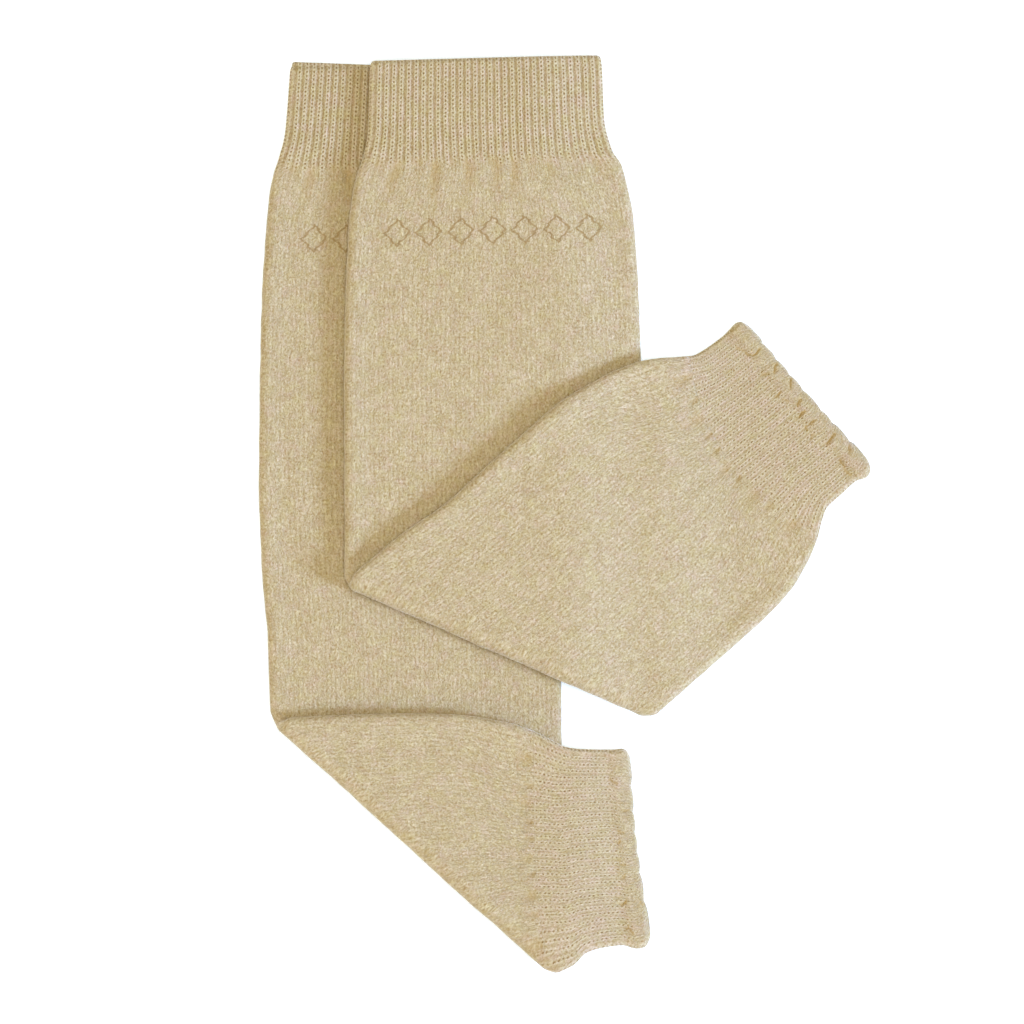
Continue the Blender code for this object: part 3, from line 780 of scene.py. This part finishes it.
def puckers(wale, distance, table):
    """The lift of puckers that leave a cuff: each is a trough with a Gaussian section between two
    low banks. Along it, it is the square of the distance times a falling exponential, so it is
    deepest a little way from the cuff."""
    share = across(wale)
    lift = np.zeros(np.broadcast(wale, distance).shape)
    for number, pucker in enumerate(table):
        middle = pucker.share + 0.012 * np.sin(distance / 3.0 + number)
        away = np.abs(share - middle) * NEAR_CUFF_HALF
        trough = np.exp(-((away / pucker.width) ** 2))
        run = np.clip(distance, 0.0, None) / (pucker.length * 0.25)
        run = (run * np.exp(1.0 - run)) ** 2
        lift = lift - pucker.depth * trough * run
        bank = np.exp(-(((away - 1.6 * pucker.width) / pucker.width) ** 2))
        lift = lift + 0.35 * pucker.depth * bank * run
    return lift


def creases(leg, wale, station):
    """The lift of the long soft creases: each is a Gaussian ridge or trough across its own line,
    and a wider Gaussian along it. They die out by a smooth step at both cuffs."""
    x = across(wale) * read_chart(leg, "half", station)
    lift = np.zeros(x.shape)
    for crease in CREASES[leg.name]:
        front = wale < FACE_WALES + SIDE_WALES
        there = front if crease.face == "front" else ~front
        half = read_chart(leg, "half", np.array(crease.station))
        along, off = turned_by(-crease.slant, x - crease.share * half, station - crease.station)
        shape = np.exp(-((off / crease.width) ** 2) - (along / crease.length) ** 2)
        lift = lift + there * crease.height * shape * (1.0 - np.abs(across(wale)) ** 6)
    from_top = station - TOP_CUFF_LENGTH
    from_ankle = leg.ankle_start + leg.ankle_slant * across(wale) - station
    return lift * smooth_step(from_top / 6.0) * smooth_step(from_ankle / 8.0)


def unevenness(across_it, along_it, size, seed):
    """Soft swells about size apart: the mean of sine waves with random headings and phases."""
    waves = np.random.default_rng(seed).uniform(size=(14, 3))
    total = np.zeros(np.broadcast(across_it, along_it).shape)
    for heading, phase, pace in waves:
        turn = heading * 2 * math.pi
        wave = across_it * math.cos(turn) + along_it * math.sin(turn)
        length = size * (0.7 + 0.8 * pace)
        total = total + np.sin(wave * 2 * math.pi / length + phase * 2 * math.pi)
    return total / len(waves)


def ankle_seam(leg, share):
    """The station of the seam above the ankle cuff, in the middle of the solids' gap. It runs a
    little higher where it passes round the bend at the fold."""
    seam = leg.ankle_start - HALF_GAP + leg.ankle_slant * share + leg.ankle_bow * share**2
    offset = place_across(leg, share, seam) * read_chart(leg, "half", seam)
    x = read_chart(leg, "centre", seam) + offset
    return seam - ANKLE_SLACK * mid_bend(past_fold(leg, x, seam))


plain_wool = wool("oatmeal_plain_wool")

for leg in PAIR:
    wale = columns(front=100, side=8, back=100)
    share = across(wale)
    top = np.full_like(wale, TOP_CUFF_LENGTH + SEAM / 2)
    bottom = ankle_seam(leg, share) - SEAM / 2
    slope = math.radians(leg.fold_angle)
    middle = read_chart(leg, "centre", leg.fold_station)
    fold_x = middle + share * read_chart(leg, "half", leg.fold_station)
    fold_start = leg.fold_station - FOLD_RADIUS / math.cos(slope) + math.tan(slope) * fold_x
    fold_end = fold_start + bend_length() / math.cos(slope)
    fold_start = np.minimum(fold_start, bottom - NARROWEST_STRETCH)
    fold_end = np.minimum(fold_end, bottom - NARROWEST_STRETCH / 3)
    station, depth = wall_rows(
        (between(top, fold_start, ABOVE_FOLD_ROWS), 0.0),
        (between(fold_start, fold_end, FOLD_ROWS)[1:], 0.0),
        (between(fold_end, bottom, BELOW_FOLD_ROWS)[1:], 0.0),
        (between(bottom, fold_end, INSIDE_ROWS), 1.0),
        (between(fold_end, fold_start, INSIDE_ROWS)[1:], 1.0),
        (between(fold_start, top, LONG_INSIDE_ROWS)[1:], 1.0),
    )
    lift = puckers(wale, station - TOP_CUFF_LENGTH, TOP_PUCKERS)
    lift = lift + puckers(wale, bottom - station, ANKLE_PUCKERS)
    # How deep a place lies in a pucker's trough, which sets the painted shade laid there.
    creased = np.clip(-lift, 0.0, 1.0) ** 1.6
    lift = lift + creases(leg, wale, station)
    from_top = station - TOP_CUFF_LENGTH
    from_ankle = bottom - station
    around = wale * WALE_WIDTH
    swell = sum(height * unevenness(around, station, size, seed) for size, height, seed in SWELLS)
    away = smooth_step(from_top / SWELL_START) * smooth_step(from_ankle / SWELL_START)
    points = lay(leg, wale, station, depth, lift + swell * away)
    top_run_out = RIB_RUN_OUT * (1.0 + 0.8 * np.sin(wale * 0.9) ** 2)
    ankle_run_out = RIB_RUN_OUT * (0.6 + 0.6 * np.sin(wale * 0.7 + 1.0) ** 2)
    top_ribbed = 1.0 - smooth_step(from_top / top_run_out)
    ankle_ribbed = ANKLE_RIBBED * (1.0 - smooth_step(from_ankle / ankle_run_out))
    ribbed = np.maximum(top_ribbed, ankle_ribbed)
    course = station / COURSE_HEIGHT
    tube = knit_mesh(leg.name + "_leg_knit", points, wale, course, ribbed, creased)
    finish_piece(tube, leg.name + "_leg", plain_wool)


# The ankle cuffs and their frilled edges.
# The real cuff is one-by-one rib on tighter stitches than the top one. Below it the same cloth goes
# on as a short plain welt, which rolls up into puffs between short creases.

ANKLE_COURSES = 19
FRILL_COURSES = 5
ANKLE_CUFF_INSIDE_ROWS = 17
FRILL_ROWS = 31
FRILL_INSIDE_ROWS = 13

# The ribs of the ankle cuff, and the lengths over which they start and end.
ANKLE_RIB_HEIGHT = 0.04
ANKLE_FILL = 0.5
ANKLE_RIB_START = 2.5
ANKLE_RIB_END = 2.0

# How high a puff and an ear rise, how far the edge draws in at a crease, the depth of a crease's
# groove and the height of its bank as shares of its depth, and the width of its groove.
PUFF_HEIGHT = 0.42
EAR_HEIGHT = 0.3
FRILL_NOTCH = 0.5
GROOVE_SHARE = 0.55
BANK_SHARE = 0.2
GROOVE_WIDTH = 0.36

# Where one puff ends and the next begins, as shares of the half width.
PUFF_EDGES = {
    "under": (-0.72, -0.42, -0.18, 0.05, 0.30, 0.62),
    "over": (-0.78, -0.54, -0.30, -0.06, 0.25, 0.45, 0.74),
}

# Creases of the frill: each runs from one place to another, given as a share of the half width and
# a distance in mm from the finished edge, and is so many mm deep.
FrillCrease = namedtuple("FrillCrease", "share inward to_share to_inward depth")
FRILL_CREASES = {
    "under": (
        FrillCrease(-0.76, 6.9, -0.70, 4.5, 0.8),
        FrillCrease(-0.44, 4.4, -0.41, 1.4, 0.4),
        FrillCrease(-0.20, 5.8, -0.17, 3.6, 0.8),
        FrillCrease(-0.05, 6.6, -0.09, 4.8, 0.5),
        FrillCrease(0.16, 6.3, 0.18, 4.5, 0.5),
        FrillCrease(0.32, 6.4, 0.29, 4.7, 0.5),
        FrillCrease(0.62, 8.1, 0.57, 5.3, 0.9),
        FrillCrease(0.59, 1.5, 0.70, 0.2, 0.7),
        FrillCrease(0.87, 7.9, 0.86, 6.0, 0.7),
        FrillCrease(0.86, 6.0, 0.93, 5.6, 0.6),
    ),
    "over": (
        FrillCrease(-0.90, 7.4, -0.79, 6.4, 0.4),
        FrillCrease(-0.79, 6.3, -0.70, 5.6, 0.9),
        FrillCrease(-0.71, 5.6, -0.71, 1.8, 0.9),
        FrillCrease(-0.49, 0.6, -0.42, 4.1, 0.8),
        FrillCrease(-0.50, 6.8, -0.43, 5.3, 0.6),
        FrillCrease(-0.27, 0.0, -0.17, 3.6, 0.7),
        FrillCrease(-0.20, 8.3, -0.20, 5.5, 0.8),
        FrillCrease(-0.13, 6.6, -0.07, 6.2, 0.5),
        FrillCrease(-0.01, 2.4, 0.01, 5.2, 0.8),
        FrillCrease(0.12, 4.0, 0.13, 7.1, 1.0),
        FrillCrease(0.27, 3.4, 0.25, 6.1, 0.8),
        FrillCrease(0.25, 6.8, 0.31, 8.1, 0.7),
        FrillCrease(0.38, 6.5, 0.38, 8.7, 0.5),
        FrillCrease(0.52, 1.7, 0.54, 6.5, 1.0),
        FrillCrease(0.76, 6.2, 0.87, 7.2, 0.8),
        FrillCrease(0.87, 7.2, 0.99, 7.6, 0.6),
        FrillCrease(0.72, 0.9, 0.78, 3.4, 0.4),
    ),
}


def puffs(share, edges):
    """0 at each crease and 1 at the top of each puff, on half a sine wave to the power 0.6."""
    edges = np.array((-1.06, *edges, 1.06))
    i = np.clip(np.searchsorted(edges, share, side="right") - 1, 0, len(edges) - 2)
    width = edges[i + 1] - edges[i]
    return np.sin(math.pi * (share - edges[i]) / width) ** 0.6 * np.clip(width / 0.24, 0.7, 1.1)


def ribbed_near_frill(wale, inward):
    """1 on the ankle cuff and 0 on the frill, with a smooth step between them that starts unevenly
    from one rib to the next."""
    uneven = 0.8 * np.sin(wale * 0.53) + 0.6 * np.sin(wale * 1.37 + 1.0)
    return ANKLE_RIBBED * smooth_step((inward - 2.2 - uneven) / 3.4)


def frill_creases(leg, share, inward):
    """(groove, bank) of the frill's creases: a groove with a Gaussian section along each line, and
    a low bank beside it where the cloth laps over."""
    groove = np.zeros(np.broadcast(share, inward).shape)
    bank = np.zeros(groove.shape)
    for crease in FRILL_CREASES[leg.name]:
        run = (crease.to_share - crease.share) * ANKLE_CUFF_HALF
        climb = crease.to_inward - crease.inward
        length = math.hypot(run, climb)
        x = (share - crease.share) * ANKLE_CUFF_HALF
        y = inward - crease.inward
        along = (x * run + y * climb) / length**2
        off = (x * climb - y * run) / length + 0.25 * np.sin(along * 5.0)
        within = crease.depth * np.sin(math.pi * np.clip(along, 0.0, 1.0)) ** 0.5
        groove = np.maximum(groove, within * np.exp(-((off / GROOVE_WIDTH) ** 2)))
        bank = np.maximum(bank, within * np.exp(-(((off - 1.3) / 0.8) ** 2)))
    return groove, bank


def frill_lift(leg, share, inward):
    """(lift, groove) of the frill, which starts on the last rows of the cuff. Puffs rise by a
    smooth step and sink a little towards the finished edge. The ears at both ends stand a little
    higher."""
    rise = smooth_step((8.5 - inward) / 6.5) * (1.0 - 0.35 * smooth_step((2.2 - inward) / 2.4))
    ear = EAR_HEIGHT * smooth_step((np.abs(share) - 0.72) / 0.12)
    puff = PUFF_HEIGHT * (0.4 + 0.6 * puffs(share, PUFF_EDGES[leg.name])) + ear
    groove, bank = frill_creases(leg, share, inward)
    return rise * puff - GROOVE_SHARE * groove + BANK_SHARE * bank, groove


for leg in PAIR:
    wale = columns(front=120, side=20, back=300)
    share = across(wale)
    edge = finished_edge(leg, share)
    start = ankle_seam(leg, share) + SEAM / 2
    end = np.full_like(wale, leg.frill_start - HALF_GAP - SEAM / 2)
    outside = between(start, end, ANKLE_COURSES * ROWS_PER_COURSE + 1)
    inside = between(end, start, ANKLE_CUFF_INSIDE_ROWS)
    station, depth = wall_rows((outside, 0.0), (inside, 1.0))
    course = (station - start) / (end - start) * ANKLE_COURSES
    near_leg = smooth_step((station - start) / ANKLE_RIB_START)
    near_frill = smooth_step((end - station) / ANKLE_RIB_END)
    # The grooves of the frill's creases set the painted shade laid into them.
    lift, creased = frill_lift(leg, share, edge - station)
    ribs = rib_stitches(wale, course, ANKLE_RIB_HEIGHT, near_leg * near_frill, ANKLE_FILL)
    points = lay(leg, wale, station, depth, lift + ribs)
    ribbed = ribbed_near_frill(wale, edge - station)
    cuff = knit_mesh(leg.name + "_ankle_cuff_knit", points, wale, course, ribbed, creased)
    finish_piece(cuff, leg.name + "_ankle_cuff", rib_wool)

    start = np.full_like(wale, leg.frill_start - HALF_GAP + SEAM / 2)
    notch = FRILL_NOTCH * (1.0 - puffs(share, PUFF_EDGES[leg.name]))
    end = edge - notch - LIP
    outside = between(start, end, FRILL_ROWS)
    inside = between(end, start, FRILL_INSIDE_ROWS)
    station, depth = wall_rows((outside, 0.0), rounded_end(end, 1), (inside, 1.0))
    course = ANKLE_COURSES + (station - start) / (end - start) * FRILL_COURSES
    # The grooves of the frill's creases set the painted shade laid into them.
    lift, creased = frill_lift(leg, share, edge - station)
    points = lay(leg, wale, station, depth, lift)
    ribbed = ribbed_near_frill(wale, edge - station)
    frill = knit_mesh(leg.name + "_frill_knit", points, wale, course, ribbed, creased)
    finish_piece(frill, leg.name + "_frill", plain_wool)


# The studio.
# A pale table top under a warm surround, a cool key light from the right, a warm light overhead and
# a weak one from the lower left. The camera looks straight down on the pair from far off.

# Sizes of the studio and its lights are in metres, and the power of a light is in watts.
SURROUND_COLOUR = (1.0, 0.89, 0.66, 1.0)
SURROUND_STRENGTH = 0.55
TABLE_HALF = 4.0
TABLE_GAP = 0.0002
TABLE_FINISH = {
    "Base Color": (0.9, 0.9, 0.89, 1.0),
    "Roughness": 0.9,
    "Specular IOR Level": 0.1,
    "Emission Color": (0.55, 0.75, 1.0, 1.0),
    "Emission Strength": 0.5,
}

bpy.context.scene.view_settings.view_transform = "Standard"
world = bpy.data.worlds.new("soft_surround")
world.use_nodes = True
surround = world.node_tree.nodes["Background"]
surround.inputs["Color"].default_value = SURROUND_COLOUR
surround.inputs["Strength"].default_value = SURROUND_STRENGTH
bpy.context.scene.world = world

pale = bpy.data.materials.new("pale_table")
pale.use_nodes = True
for socket, value in TABLE_FINISH.items():
    pale.node_tree.nodes["Principled BSDF"].inputs[socket].default_value = value
table_corners = [
    (x * TABLE_HALF, y * TABLE_HALF, -TABLE_GAP) for x, y in ((-1, -1), (1, -1), (1, 1), (-1, 1))
]
table_mesh = bpy.data.meshes.new("table_top")
table_mesh.from_pydata(table_corners, [], [(0, 1, 2, 3)])
table_mesh.materials.append(pale)
table_top = bpy.data.objects.new("table_top", table_mesh)
bpy.context.scene.collection.objects.link(table_top)


def soft_light(name, place, size, power, colour):
    """A square area light at place that faces the middle of the pair."""
    lamp = bpy.data.lights.new(name, "AREA")
    lamp.size = size
    lamp.energy = power
    lamp.color = colour
    holder = bpy.data.objects.new(name, lamp)
    holder.location = place
    tilt = math.atan2(math.hypot(place[0], place[1]), place[2])
    holder.rotation_euler = (tilt, 0.0, math.atan2(-place[0], place[1]) + math.pi)
    bpy.context.scene.collection.objects.link(holder)


soft_light("key", (1.68, -0.6, 1.0), size=0.5, power=56.0, colour=(0.45, 0.62, 1.0))
soft_light("overhead", (0.0, 0.1, 1.5), size=0.6, power=11.0, colour=(1.0, 0.965, 0.815))
soft_light("fill", (-1.05, -0.95, 0.55), size=0.6, power=6.0, colour=(1.0, 0.92, 0.74))

PICTURE_MIDDLE = (-0.0163, 0.0005)
PICTURE_WIDTH = 0.3072
LENS = 300.0
SENSOR = 36.0
MIDDLE_HEIGHT = 0.008
FARTHEST_SEEN = 20.0
lens = bpy.data.cameras.new("camera")
lens.lens = LENS
lens.sensor_width = SENSOR
lens.clip_end = FARTHEST_SEEN
camera = bpy.data.objects.new("camera", lens)
camera.location = (*PICTURE_MIDDLE, MIDDLE_HEIGHT + PICTURE_WIDTH * LENS / SENSOR)
bpy.context.scene.collection.objects.link(camera)
bpy.context.scene.camera = camera
